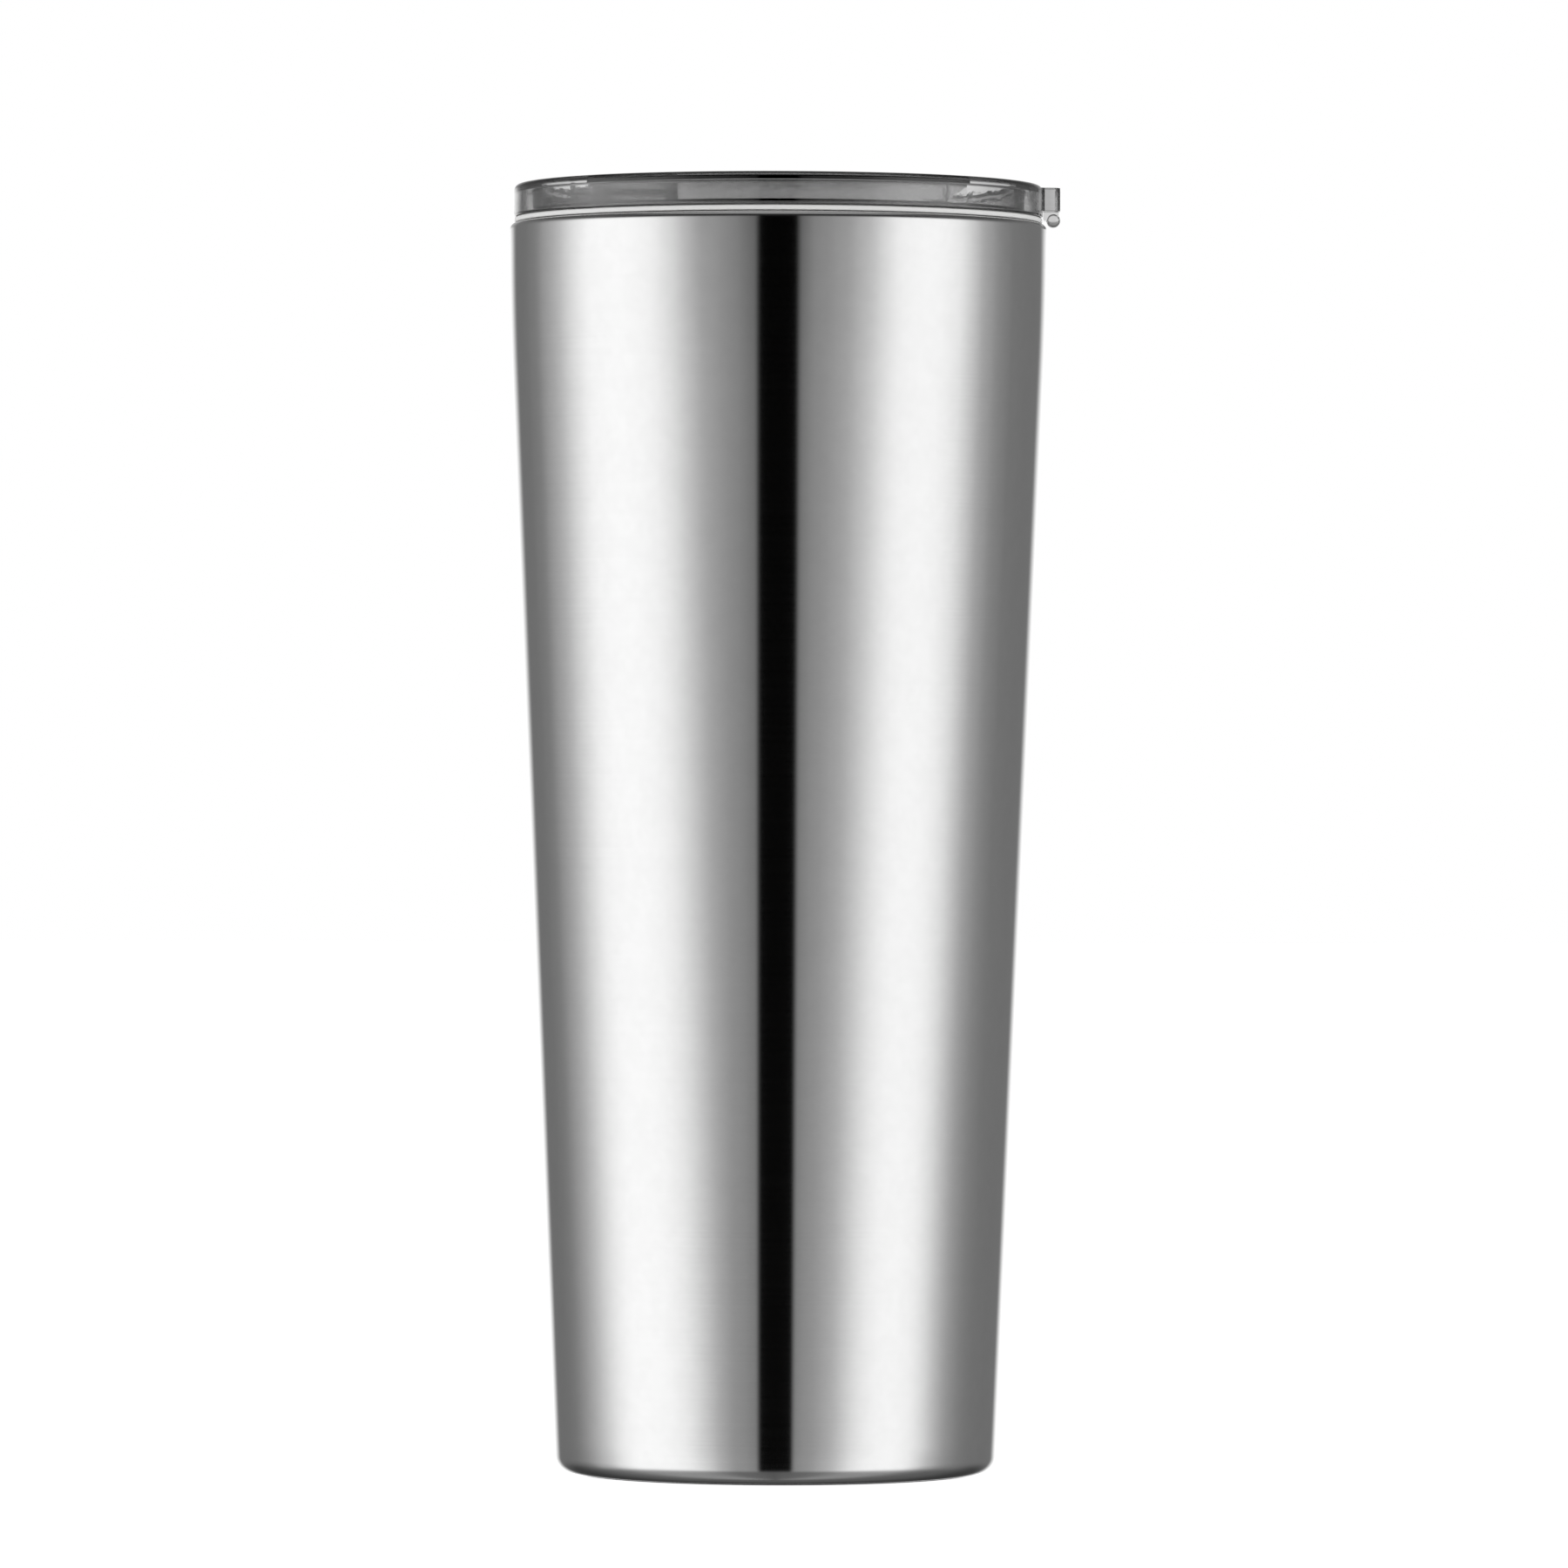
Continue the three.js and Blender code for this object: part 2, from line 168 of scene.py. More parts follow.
def revolve(name: str, profile: np.ndarray, segments: int = 256, crease: float = 30.0) -> bpy.types.Object:
    """A surface turned about Z.

    Point (i, j) is (r cos a, r sin a, h) for profile point i and angle a = 2 pi j / n. A profile that starts and
    ends on the axis gives a pole at each end; any other is joined end to end. The wrap map's first coordinate
    runs round the axis and its second along the profile, in metres.

    Args:
        name: Name of the piece.
        profile: (m, 2) points (r, h), anticlockwise seen with r to the right and h up, mm.
        segments: Number of steps round the axis.
        crease: Edges that turn by more than this many degrees stay sharp.

    Returns:
        The new object.
    """
    poled = bool(profile[0, 0] == 0)
    body = profile[1:-1] if poled else profile
    angle = np.arange(segments) * 2 * math.pi / segments
    ring = np.stack((np.cos(angle), np.sin(angle), np.zeros(segments)), axis=1)
    points = body[:, None, :1] * ring[None] + body[:, None, 1:] * np.array((0, 0, 1.0))
    points = points.reshape(-1, 3)
    rows = len(body)
    i = np.arange(rows - 1 if poled else rows)[:, None]
    j = np.arange(segments)[None]
    after, beside = (i + 1) % rows, (j + 1) % segments
    here, above = i * segments, after * segments
    quads = np.stack((here + j, here + beside, above + beside, above + j), -1)
    faces: list = quads.reshape(-1, 4).tolist()
    j, beside = j[0], beside[0]
    if poled:
        ends = np.column_stack((np.zeros((2, 2)), profile[[0, -1], 1]))
        bottom, top = len(points), len(points) + 1
        points = np.vstack((points, ends))
        last = (rows - 1) * segments
        faces += np.column_stack((np.full(segments, bottom), beside, j)).tolist()
        faces += np.column_stack((np.full(segments, top), last + j, last + beside)).tolist()
    made = new_object(name, points, faces, crease)
    run = np.concatenate(((0,), np.cumsum(np.linalg.norm(np.diff(body, axis=0), axis=1))))
    wrap(made, segments, rows, run * MM)
    return made


def wrap(made: bpy.types.Object, segments: int, rows: int, run: np.ndarray) -> None:
    """Gives a turned piece its wrap map, (j / segments, distance along the profile) at each face's corners.

    Args:
        made: The turned piece.
        segments: Number of steps round the axis.
        rows: Number of rings.
        run: Distance along the profile at each ring, metres.
    """
    mesh = made.data
    corner = np.zeros(len(mesh.loops), np.int32)
    mesh.loops.foreach_get("vertex_index", corner)
    side = corner % segments
    row = np.minimum(corner // segments, rows - 1)
    first = np.zeros(len(mesh.polygons), np.int32)
    total = np.zeros(len(mesh.polygons), np.int32)
    mesh.polygons.foreach_get("loop_start", first)
    mesh.polygons.foreach_get("loop_total", total)
    owner = np.repeat(np.arange(len(total)), total)
    highest = np.maximum.reduceat(side, first)[owner]
    crossing = (highest == segments - 1) & (side == 0)
    u = (side + np.where(crossing, segments, 0)) / segments
    layer = mesh.uv_layers.new(name=UV_NAME)
    layer.data.foreach_set("uv", np.column_stack((u, run[row])).astype(np.float32).ravel())


def prism(name: str, outline: np.ndarray, bottom: float, top: float) -> bpy.types.Object:
    """An upright solid: the outline at the bottom and top heights, with a side face on each edge.

    Args:
        name: Name of the piece.
        outline: (n, 2) points, anticlockwise seen from above, mm.
        bottom: Height of its underside, mm.
        top: Height of its top, mm.

    Returns:
        The new object.
    """
    count = len(outline)
    low = np.column_stack((outline, np.full(count, bottom)))
    high = np.column_stack((outline, np.full(count, top)))
    k = np.arange(count)
    n = (k + 1) % count
    sides = np.column_stack((k, n, n + count, k + count)).tolist()
    caps = [k[::-1].tolist(), (k + count).tolist()]
    return new_object(name, np.vstack((low, high)), sides + caps)


def rod(name: str, outline: np.ndarray, start: float, end: float) -> bpy.types.Object:
    """A solid along Y: the outline in the XZ plane, carried from one Y to another.

    Args:
        name: Name of the piece.
        outline: (n, 2) points (x, z), anticlockwise seen with x to the right and z up, mm.
        start: First Y, mm.
        end: Last Y, mm.

    Returns:
        The new object.
    """
    count = len(outline)
    near = np.column_stack((outline[:, 0], np.full(count, start), outline[:, 1]))
    far = np.column_stack((outline[:, 0], np.full(count, end), outline[:, 1]))
    k = np.arange(count)
    n = (k + 1) % count
    sides = np.column_stack((k, n, n + count, k + count)).tolist()
    caps = [k[::-1].tolist(), (k + count).tolist()]
    made = new_object(name, np.vstack((near, far)), sides + caps)
    made.data.flip_normals()
    return made


def carve(base: bpy.types.Object, tools: Iterable[bpy.types.Object], how: Cut) -> None:
    """Joins closed solids to a base or takes them away from it, one after another, and removes them.

    Args:
        base: The solid that is changed.
        tools: The solids that act on it.
        how: Whether they are joined or taken away.
    """
    for tool in tools:
        step = base.modifiers.new(tool.name, "BOOLEAN")
        step.object = tool
        step.operation = how.value
        step.solver = "EXACT"
        graph = bpy.context.evaluated_depsgraph_get()
        mesh = bpy.data.meshes.new_from_object(base.evaluated_get(graph))
        base.modifiers.clear()
        base.data = mesh
        bpy.data.objects.remove(tool)


def soften(made: bpy.types.Object, width: float, segments: int = 2, crease: float = 35.0) -> None:
    """Rounds the sharp edges of a piece.

    Args:
        made: The piece.
        width: Width of the rounding, mm.
        segments: Faces across it.
        crease: Only edges that turn by more than this many degrees are rounded.
    """
    mesh = made.data
    mesh.shade_smooth()
    mesh.set_sharp_from_angle(angle=math.radians(crease))
    bevel = made.modifiers.new("Soft edges", "BEVEL")
    bevel.width = width * MM
    bevel.segments = segments
    bevel.limit_method = "ANGLE"
    bevel.angle_limit = math.radians(crease)
    bevel.miter_outer = "MITER_ARC"


def even_out(made: bpy.types.Object) -> None:
    """Lets the larger faces of a finished piece lead its shading."""
    step = made.modifiers.new("Even shading", "WEIGHTED_NORMAL")
    step.mode = "FACE_AREA"
    step.weight = 80
    step.keep_sharp = True


# ---------------------------------------------------------------- finishes


class Sheet:
    """A node tree that is filled in step by step."""

    def __init__(self, tree: bpy.types.NodeTree) -> None:
        """Empties the tree."""
        self.tree = tree
        tree.nodes.clear()

    def add(self, kind: str, values: dict | None = None, **settings: object) -> bpy.types.Node:
        """Adds a node.

        Args:
            kind: The node's type name, without the leading "ShaderNode".
            values: Input name or number to a plain value or to another node's output.
            settings: Settings of the node itself.

        Returns:
            The new node.
        """
        node = self.tree.nodes.new("ShaderNode" + kind)
        for key, value in settings.items():
            setattr(node, key, value)
        for key, value in (values or {}).items():
            socket = node.inputs[key]
            if isinstance(value, bpy.types.NodeSocket):
                self.tree.links.new(value, socket)
            else:
                socket.default_value = value
        return node

    def math(self, operation: str, *values: object) -> bpy.types.NodeSocket:
        """The result of a sum on numbers or outputs."""
        return self.add("Math", dict(enumerate(values)), operation=operation).outputs[0]

    def ramp(self, value: object, low: float, high: float, to_low: float = 0.0, to_high: float = 1.0) -> object:
        """A value carried smoothly from one range to another, and held at the ends."""
        values = {"Value": value, "From Min": low, "From Max": high, "To Min": to_low, "To Max": to_high}
        return self.add("MapRange", values, interpolation_type="SMOOTHSTEP").outputs["Result"]

    def noise(self, vector: object, scale: float, detail: float = 2.0, roughness: float = 0.5) -> object:
        """Smooth noise from 0 to 1 at points of a pattern space."""
        values = {"Vector": vector, "Scale": scale, "Detail": detail, "Roughness": roughness}
        return self.add("TexNoise", values).outputs["Fac"]

    def mix(self, share: object, low: Sequence[float], high: Sequence[float]) -> bpy.types.NodeSocket:
        """A colour between two others, each given as red, green and blue."""
        made = self.add("Mix", None, data_type="RGBA")
        factor, first, second = (made.inputs[i] for i in (0, 6, 7))
        self.tree.links.new(share, factor)
        first.default_value = (*low, 1.0)
        second.default_value = (*high, 1.0)
        return made.outputs[2]

    def stretched(self, vector: object, scale: tuple[float, float, float]) -> object:
        """A pattern space stretched along its axes."""
        return self.add("Mapping", {"Vector": vector, "Scale": scale}).outputs["Vector"]

    def place(self) -> bpy.types.NodeSocket:
        """Position on the piece, in metres."""
        return self.add("TexCoord").outputs["Object"]

    def bump(self, height: object, strength: float, distance: float) -> bpy.types.NodeSocket:
        """A surface normal tilted by a height."""
        return self.add("Bump", {"Height": height, "Strength": strength, "Distance": distance}).outputs["Normal"]


def material(name: str) -> tuple[bpy.types.Material, Sheet]:
    """A new material and its empty sheet."""
    made = bpy.data.materials.new(name)
    made.use_nodes = True
    return made, Sheet(made.node_tree)


def grey(level: float) -> tuple[float, float, float, float]:
    """A neutral colour."""
    return (level, level, level, 1.0)


@dataclass(frozen=True)
class BrushedSteel:
    """Steel drawn through fine circular brushing: sharp round the wall and spread along its height."""

    name: str = "Brushed steel"
    colour: float = 0.6
    roughness: float = 0.13
    spread: float = 1.0
    lines_per_metre: float = 9000.0
    line_height: float = 0.0000012
    mottle: float = 0.015

    def make(self) -> bpy.types.Material:
        """Builds the material."""
        made, sheet = material(self.name)
        layout = sheet.add("UVMap", uv_map=UV_NAME).outputs["UV"]
        lines = sheet.noise(sheet.stretched(layout, (1.2, self.lines_per_metre / 3, 1)), 1.0, 3.0, 0.7)
        clouds = sheet.noise(sheet.place(), 260.0, 4.0, 0.7)
        shade = sheet.ramp(clouds, 0.3, 0.7, self.colour * (1 - self.mottle), self.colour * (1 + self.mottle))
        streaks = sheet.ramp(lines, 0.2, 0.8, self.roughness * 0.85, self.roughness * 1.15)
        tangent = sheet.add("Tangent", direction_type="UV_MAP", uv_map=UV_NAME).outputs["Tangent"]
        shader = sheet.add(
            "BsdfPrincipled",
            {
                "Base Color": sheet.add("CombineColor", {0: shade, 1: shade, 2: shade}).outputs[0],
                "Metallic": 1.0,
                "Roughness": streaks,
                "Anisotropic": self.spread,
                "Anisotropic Rotation": 0.25,
                "Tangent": tangent,
                "Normal": sheet.bump(lines, 1.0, self.line_height),
            },
        )
        sheet.add("OutputMaterial", {"Surface": shader.outputs[0]})
        return made


@dataclass(frozen=True)
class PressedMetal:
    """Pressed or foil metal with a fine grain."""

    name: str
    colour: tuple[float, float, float]
    roughness: float
    grain: float = 900.0
    depth: float = 0.000004
    darkest: float = 0.92

    def make(self) -> bpy.types.Material:
        """Builds the material."""
        made, sheet = material(self.name)
        grain = sheet.noise(sheet.place(), self.grain, 4.0, 0.6)
        clouds = sheet.noise(sheet.place(), 60.0, 2.0)
        rough = sheet.ramp(clouds, 0.3, 0.7, self.roughness * 0.85, self.roughness * 1.15)
        darker = [c * self.darkest for c in self.colour]
        shader = sheet.add(
            "BsdfPrincipled",
            {
                "Base Color": sheet.mix(grain, darker, self.colour),
                "Metallic": 1.0,
                "Roughness": rough,
                "Normal": sheet.bump(grain, 0.6, self.depth),
            },
        )
        sheet.add("OutputMaterial", {"Surface": shader.outputs[0]})
        return made


@dataclass(frozen=True)
class ClearPlastic:
    """Moulded clear plastic with a smoky tint that deepens with its thickness."""

    name: str = "Clear plastic"
    roughness: float = 0.03
    refraction: float = 1.55
    density: float = 260.0
    flow_depth: float = 0.00003

    def make(self) -> bpy.types.Material:
        """Builds the material."""
        made, sheet = material(self.name)
        flow = sheet.noise(sheet.stretched(sheet.place(), (320, 320, 420)), 1.0, 3.0)
        scuffs = sheet.noise(sheet.place(), 1400.0, 3.0, 0.7)
        rough = sheet.ramp(scuffs, 0.5, 0.8, self.roughness, self.roughness * 2.5)
        shader = sheet.add(
            "BsdfPrincipled",
            {
                "Base Color": grey(0.97),
                "Roughness": rough,
                "IOR": self.refraction,
                "Transmission Weight": 1.0,
                "Normal": sheet.bump(flow, 0.5, self.flow_depth),
            },
        )
        depth = sheet.add("VolumeAbsorption", {"Color": grey(0.5), "Density": self.density})
        sheet.add("OutputMaterial", {"Surface": shader.outputs[0], "Volume": depth.outputs[0]})
        return made


@dataclass(frozen=True)
class Silicone:
    """Soft moulded rubber."""

    name: str
    colour: tuple[float, float, float]
    roughness: float = 0.5
    refraction: float = 1.41
    grain: float = 2500.0
    darkest: float = 0.94

    def make(self) -> bpy.types.Material:
        """Builds the material."""
        made, sheet = material(self.name)
        grain = sheet.noise(sheet.place(), self.grain, 3.0, 0.6)
        clouds = sheet.noise(sheet.place(), 45.0, 2.0)
        rough = sheet.ramp(clouds, 0.3, 0.7, self.roughness * 0.9, self.roughness * 1.1)
        darker = [c * self.darkest for c in self.colour]
        shader = sheet.add(
            "BsdfPrincipled",
            {
                "Base Color": sheet.mix(clouds, darker, self.colour),
                "Roughness": rough,
                "IOR": self.refraction,
                "Normal": sheet.bump(grain, 0.4, 0.00001),
            },
        )
        sheet.add("OutputMaterial", {"Surface": shader.outputs[0]})
        return made


@dataclass(frozen=True)
class FusedGlass:
    """Dark glass that has melted and set."""

    name: str = "Fused glass"

    def make(self) -> bpy.types.Material:
        """Builds the material."""
        made, sheet = material(self.name)
        swirl = sheet.noise(sheet.place(), 900.0, 4.0, 0.6)
        shade = sheet.ramp(swirl, 0.3, 0.7, 0.01, 0.04)
        shader = sheet.add(
            "BsdfPrincipled",
            {
                "Base Color": sheet.add("CombineColor", {0: shade, 1: shade, 2: shade}).outputs[0],
                "Roughness": sheet.ramp(swirl, 0.3, 0.7, 0.12, 0.3),
                "IOR": 1.5,
                "Normal": sheet.bump(swirl, 0.5, 0.00003),
            },
        )
        sheet.add("OutputMaterial", {"Surface": shader.outputs[0]})
        return made


def dress(made: bpy.types.Object, finish: bpy.types.Material) -> None:
    """Gives a piece one material and drops any other."""
    made.data.materials.clear()
    made.data.materials.append(finish)


def place_piece(made: bpy.types.Object, body: Body, nodes: Sequence[str]) -> None:
    """Puts a finished piece on its body and hides the frame's nodes that it stands for.

    Args:
        made: The piece.
        body: The body that carries it.
        nodes: The frame's nodes that it stands for.
    """
    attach(made, body.value)
    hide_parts(*nodes)
    LOG.info("%s: %d faces on %s", made.name, len(made.data.polygons), body.value)


# ---------------------------------------------------------------- the vessel


@dataclass
class Vessel:
    """The double-walled steel vessel and its pad."""

    rim_radius: float = 45.0
    rim_top: float = 209.05
    taper: float = 0.0421
    taper_top: float = 184.0
    lip_round: float = 1.2
    sheet: float = 0.5
    base_bottom: float = 0.2
    base_round: float = 2.9
    wall: float = 4.5
    neck_radius: float = 42.55
    neck_bottom: float = 197.0
    shoulder_bottom: float = 190.0
    floor_top: float = 13.0
    floor_sheet: float = 0.6
    floor_round: float = 7.0
    seam: float = 20.4
    pad_radius: float = 33.4
    pad_thickness: float = 0.4
    pad_gap: float = 0.2
    gap: float = 0.15
    rows_every: float = 3.0

    def wall_radius(self, height: np.ndarray) -> np.ndarray:
        """Outside radius: a straight taper that curves to upright at the mouth.

        Args:
            height: Heights, mm.

        Returns:
            Radii, mm.
        """
        curve = self.rim_top - self.lip_round - self.taper_top
        above = np.clip(height - self.taper_top, 0, None)
        below = np.clip(height - self.taper_top, None, 0)
        start = self.rim_radius - self.taper * curve / 2
        return start + self.taper * below + self.taper * above * (1 - above / (2 * curve))

    def liner_radius(self, height: np.ndarray) -> np.ndarray:
        """Wetted radius of the cup: the taper, then a smooth step out to the neck.

        Args:
            height: Heights, mm.

        Returns:
            Radii, mm.
        """
        share = np.clip((height - self.shoulder_bottom) / (self.neck_bottom - self.shoulder_bottom), 0, 1)
        share = share * share * (3 - 2 * share)
        cup = self.wall_radius(height) - self.wall
        return cup + (self.neck_radius - cup) * share

    def corner(self, radius: np.ndarray, floor: float, rounding: float) -> tuple[float, float]:
        """Centre of the arc that turns a tapered wall into a flat floor."""
        lean = math.atan(self.taper)
        return float(radius) - rounding * math.cos(lean), floor + rounding

    def outer_wall(self) -> bpy.types.Object:
        """The brushed outer wall, with its lip and base rounding as closed sheet metal."""
        lean = math.degrees(math.atan(self.taper))
        start = self.base_bottom + self.base_round * (1 - math.sin(math.radians(lean)))
        centre = self.corner(self.wall_radius(np.array(start)), self.base_bottom, self.base_round)
        upright = self.rim_top - self.lip_round
        heights = np.linspace(start, upright, round((upright - start) / self.rows_every))[1:-1]
        lip = (self.rim_radius - self.lip_round, upright)
        edge = self.pad_radius + self.pad_gap
        outside = np.column_stack((self.wall_radius(heights), heights))
        inside = outside[::-4] - (self.sheet, 0)
        profile = np.vstack(
            (
                ((edge, self.base_bottom),),
                arc(centre, self.base_round, -90, -lean, 12),
                outside,
                arc(lip, self.lip_round, 0, 90, 8),
                arc(lip, self.lip_round - self.sheet, 90, 0, 5),
                inside,
                arc(centre, self.base_round - self.sheet, -lean, -90, 6),
                ((edge, self.base_bottom + self.sheet),),
            )
        )
        return revolve("Outer_wall_brushed", profile, 320)

    def liner(self) -> bpy.types.Object:
        """The cup's wall with its shoulder, neck and turned-out lip."""
        rounding = 0.9
        flange = self.rim_radius - self.lip_round - self.gap
        lip = (self.neck_radius + rounding, self.rim_top - rounding)
        heights = np.concatenate(
            (
                np.linspace(self.seam + self.gap, self.shoulder_bottom, 50),
                np.linspace(self.shoulder_bottom, self.neck_bottom, 15)[1:],
            )
        )
        inside = np.column_stack((self.liner_radius(heights), heights))
        profile = np.vstack(
            (
                inside[::2] + (self.sheet, 0),
                arc(lip, rounding - self.sheet, 180, 90, 4),
                ((flange, self.rim_top - self.sheet), (flange, self.rim_top)),
                arc(lip, rounding, 90, 180, 8),
                inside[::-1],
            )
        )
        return revolve("Cup_wall", profile, 256)

    def cup_floor(self) -> bpy.types.Object:
        """The cup's pressed floor."""
        lean = math.degrees(math.atan(self.taper))
        start = self.floor_top + self.floor_round * (1 - math.sin(math.radians(lean)))
        centre = self.corner(self.liner_radius(np.array(start)), self.floor_top, self.floor_round)
        edge = float(self.liner_radius(np.array(self.seam)))
        under = self.floor_top - self.floor_sheet
        profile = np.vstack(
            (
                ((0, under), (10, under), (20, under)),
                arc(centre, self.floor_round + self.floor_sheet, -90, -lean, 10),
                ((edge + self.sheet, self.seam), (edge, self.seam)),
                arc(centre, self.floor_round, -lean, -90, 12),
                ((20, self.floor_top), (10, self.floor_top), (0, self.floor_top)),
            )
        )
        return revolve("Cup_floor", profile, 192)

    def pad(self) -> bpy.types.Object:
        """The non-slip pad with three shallow grooves under it."""
        corners: list[tuple[float, float, float]] = [(0, 0, 0)]
        for radius in (14.0, 20.0, 26.0):
            for across, up in ((0, 0), (0.1, 0.2), (1.1, 0.2), (1.2, 0)):
                corners.append((radius + across, up, 0.05))
        corners += [
            (self.pad_radius, 0, 0.15),
            (self.pad_radius, self.pad_thickness, 0.1),
            (0, self.pad_thickness, 0),
        ]
        return revolve("Base_pad_grooved", rounded(corners, closed=False, steps=4), 192)

    def build(self) -> None:
        """Builds and dresses the vessel's pieces."""
        steel = BrushedSteel().make()
        satin = PressedMetal("Satin steel", (0.5, 0.5, 0.49), 0.32).make()
        made = self.outer_wall()
        dress(made, steel)
        place_piece(made, Body.VESSEL, ["outer_wall"])
        made = self.liner()
        dress(made, BrushedSteel("Cup steel", colour=0.5, roughness=0.26, lines_per_metre=5000.0).make())
        place_piece(made, Body.VESSEL, ["liner_wall"])
        made = self.cup_floor()
        dress(made, satin)
        place_piece(made, Body.VESSEL, ["liner_base"])
        made = self.pad()
        dress(made, Silicone("Grey silicone", (0.075, 0.077, 0.08), 0.7).make())
        place_piece(made, Body.VESSEL, ["base_pad"])
        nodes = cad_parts
        dress(nodes["base_cap"], satin)
        dress(nodes["getter_clip"], satin)
        dress(nodes["copper_foil"], PressedMetal("Copper foil", (0.85, 0.42, 0.28), 0.25).make())
        dress(nodes["getter_pellet"], PressedMetal("Getter", (0.14, 0.14, 0.15), 0.8, 2500.0).make())
        dress(nodes["vacuum_seal_bead"], FusedGlass().make())
        dress(nodes["base_pad_film"], Silicone("Adhesive film", (0.68, 0.62, 0.48), 0.55).make())


# ---------------------------------------------------------------- the lid


@dataclass
class Lid:
    """The clear lid and its seal."""

    radius: float = 44.25
    top: float = 215.5
    seat: float = 210.1
    rounding: float = 1.0
    wall_inside: float = 42.6
    plate_top: float = 215.4
    plate_under: float = 214.3
    well_radius: float = 39.8
    well_chord: float = 30.0
    well_floor: float = 211.2
    floor_plate: float = 1.1
    rib: float = 2.0
    skirt_outside: float = 40.7
    skirt_inside: float = 38.6
    skirt_bottom: float = 199.0
    collar: float = 41.3
    bead_radius: float = 41.3
    bead_top: float = 201.2
    mouth_front: float = -37.2
    mouth_back: float = -32.0
    mouth_half: float = 6.5
    mouth_round: float = 2.2
    vent_radius: float = 1.25
    vent_at: float = 35.0
    trough_half: float = 8.2
    slot_half: float = 6.8
    lip_bottom: float = 213.2
    trough_end: float = -18.6
    tab_root: float = 42.9
    tab_reach: float = 47.15
    tab_half: float = 3.2
    tab_round: float = 1.8
    tab_flare: float = 0.35
    tab_bottom: float = 211.2
    tab_top: float = 215.1
    bead: float = 1.15
    bead_x: float = 46.0
    bead_z: float = 209.65
    bead_half: float = 2.2
    web_root: float = 44.3
    web_end: float = 46.9
    web_half: float = 1.8
    segments: int = 384
    neck_radius: float = 42.55
    rim_top: float = 209.05
    gap: float = 0.15
    seal_gap: float = 0.1

    def blank(self) -> bpy.types.Object:
        """Rim, wall, plate and plug skirt as one turned solid."""
        corners = [
            (0, self.plate_under, 0),
            (self.skirt_inside, self.plate_under, 0.5),
            (self.skirt_inside, self.skirt_bottom, 0.4),
            (self.skirt_outside, self.skirt_bottom, 0.3),
            (self.bead_radius, self.skirt_bottom + 0.8, 0.2),
            (self.bead_radius, self.bead_top, 0.15),
            (self.skirt_outside, self.bead_top, 0.1),
            (self.skirt_outside, self.seat, 0.15),
            (self.collar, self.seat + 0.6, 0.15),
            (self.collar, self.plate_under, 0.3),
            (self.wall_inside, self.plate_under, 0.3),
            (self.wall_inside, self.seat, 0.25),
            (self.radius, self.seat, 0.4),
            (self.radius, self.top, self.rounding),
            (self.collar + 0.4, self.top, 0.05),
            (self.collar, self.plate_top, 0.05),
            (0, self.plate_top, 0),
        ]
        return revolve("Lid_body_clear", rounded(corners, closed=False, steps=6), self.segments)

    def crescent(self, radius: float, chord: float, side: int) -> np.ndarray:
        """The outline of the part of a disc beyond a chord.

        Args:
            radius: Radius of the disc, mm.
            chord: Distance of the chord from the axis, mm.
            side: -1 for the part towards -X, 1 for +X.

        Returns:
            (n, 2) points, anticlockwise.
        """
        half = math.degrees(math.acos(chord / radius))
        middle = 0 if side > 0 else 180
        return arc((0, 0), radius, middle - half, middle + half, 120)

    def tab(self) -> list[bpy.types.Object]:
        """The pull tab: a lug that flares into the rim, with a bead under it on a short web."""
        root, flare, half = self.radius - 0.05, self.tab_flare, self.tab_half
        near = arc((root + flare, -half - flare), flare, 180, 90, 6)
        outer = rounded_box(self.tab_root, self.tab_reach, half, self.tab_round)
        count = len(outer) // 4
        corners = outer[count : 3 * count]
        far = near[::-1] * (1, -1)
        ends = np.array([(self.tab_root, half + flare), (self.tab_root, -half - flare)])
        lug = prism("lug", np.vstack((near, corners, far, ends)), self.tab_bottom, self.tab_top)
        soften(lug, 0.6, 5)
        x, z = self.bead_x, self.bead_z
        bead = rod("bead", arc((x, z), self.bead, 0, 360, 32)[:-1], -self.bead_half, self.bead_half)
        soften(bead, 0.7, 5)
        high = self.tab_bottom + 0.5
        start, end = self.web_root, self.web_end
        corners = [(start, z, 0.4), (end, z, 0), (end, high, 0), (start, high, 0)]
        web = rod("web", rounded(corners), -self.web_half, self.web_half)
        return [lug, bead, web]

    def body(self) -> bpy.types.Object:
        """The lid: the blank with its wells, slider trough, openings and pull tab."""
        under = self.well_floor - self.floor_plate
        middle = (self.plate_top + self.plate_under) / 2
        above = self.top + 1
        lid = self.blank()
        disc = arc((0, 0), self.skirt_inside + 0.5, 0, 360, self.segments)[:-1]
        floor = prism("floor", disc, under, self.well_floor)
        wide = self.trough_half + self.rib
        start, end = -self.well_chord, self.trough_end + self.rib
        case = prism("case", rounded_box(start, end, wide, 0), under + self.floor_plate / 2, middle)
        carve(lid, [floor, case], Cut.JOIN)
        wells = [
            prism(f"well{side}", self.crescent(self.well_radius, self.well_chord, side), self.well_floor, above)
            for side in (-1, 1)
        ]
        start, end = -self.well_chord - 1, self.trough_end
        trough = prism("trough", rounded_box(start, end, self.trough_half, 0), self.well_floor, self.lip_bottom)
        slot = prism("slot", rounded_box(start, end, self.slot_half, 0), self.lip_bottom - 0.1, above)
        mouth_outline = rounded_box(self.mouth_front, self.mouth_back, self.mouth_half, self.mouth_round)
        mouth = prism("mouth", mouth_outline, under - 1, self.well_floor + 1)
        vent_outline = arc((self.vent_at, 0), self.vent_radius, 0, 360, 32)[:-1]
        vent = prism("vent", vent_outline, under - 1, self.well_floor + 1)
        carve(lid, [*wells, trough, slot, mouth, vent], Cut.REMOVE)
        carve(lid, self.tab(), Cut.JOIN)
